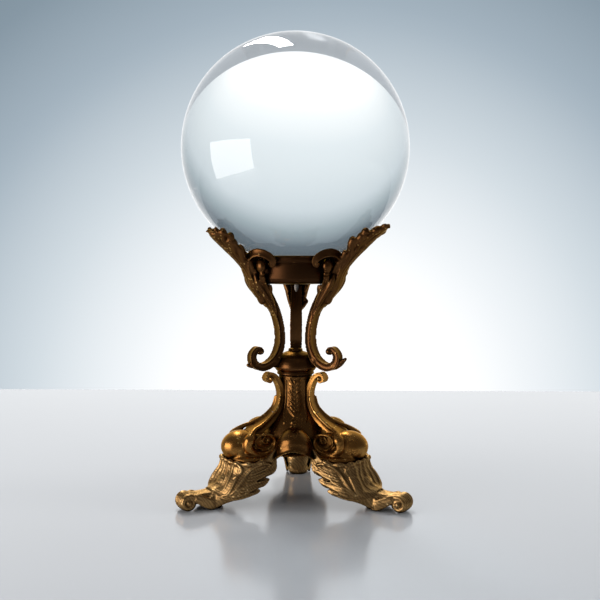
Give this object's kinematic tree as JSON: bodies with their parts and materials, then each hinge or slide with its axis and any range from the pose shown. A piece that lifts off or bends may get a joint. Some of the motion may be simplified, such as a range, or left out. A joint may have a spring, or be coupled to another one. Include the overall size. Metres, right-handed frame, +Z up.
{
  "type": "crystal ball on a tripod stand",
  "caption": "Clear solid glass ball resting in the cup of an ornate cast brass tripod stand with scroll arms, a waisted column and leaf-shaped legs.",
  "frame": {"origin": "bottom centre of the bounding box, on the table under the ball; the stand's upright axis is at X = 0, Y = -3.45 mm", "axes": "+Z up along the stand's axis; the rear leg points to +Y, so the front of the stand, between the left and right legs, faces -Y"},
  "size_m": [0.1112, 0.1168, 0.2246],
  "materials": {
    "crystal_glass": "optically polished clear lead crystal",
    "seat_felt": "thin dark felt",
    "dark_brass": "antique brown patina, rubbed bright on raised edges",
    "gold_brass": "antique gold, brown patina left in the recesses",
    "fastener_steel": "dull turned steel"
  },
  "bodies": {
    "stand": {"cup": "dark_brass", "dome_collar": "dark_brass", "column": "gold_brass", "tie_rod": "fastener_steel", "rod_washer": "fastener_steel", "rod_nut": "fastener_steel", "arm_left": "dark_brass", "scroll_bracket_left": "gold_brass", "leg_left": "gold_brass", "cup_screw_left": "fastener_steel", "arm_screw_left": "fastener_steel", "bracket_screw_left": "fastener_steel", "leg_screw_left": "fastener_steel", "arm_right": "dark_brass", "scroll_bracket_right": "gold_brass", "leg_right": "gold_brass", "cup_screw_right": "fastener_steel", "arm_screw_right": "fastener_steel", "bracket_screw_right": "fastener_steel", "leg_screw_right": "fastener_steel", "arm_rear": "dark_brass", "scroll_bracket_rear": "gold_brass", "leg_rear": "gold_brass", "cup_screw_rear": "fastener_steel", "arm_screw_rear": "fastener_steel", "bracket_screw_rear": "fastener_steel", "leg_screw_rear": "fastener_steel"},
    "seat": {"felt_seat": "seat_felt"},
    "ball": {"ball": "crystal_glass"}
  },
  "joints": [
    {"name": "ball_turn", "type": "hinge", "parent": "stand", "child": "seat", "pos_m": [0, -0.00345, 0.1696], "axis": [0, 0, 1], "continuous": true},
    {"name": "ball_lift", "type": "slide", "parent": "seat", "child": "ball", "axis": [0, 0, 1], "range_m": [0, 0.06]}
  ]
}
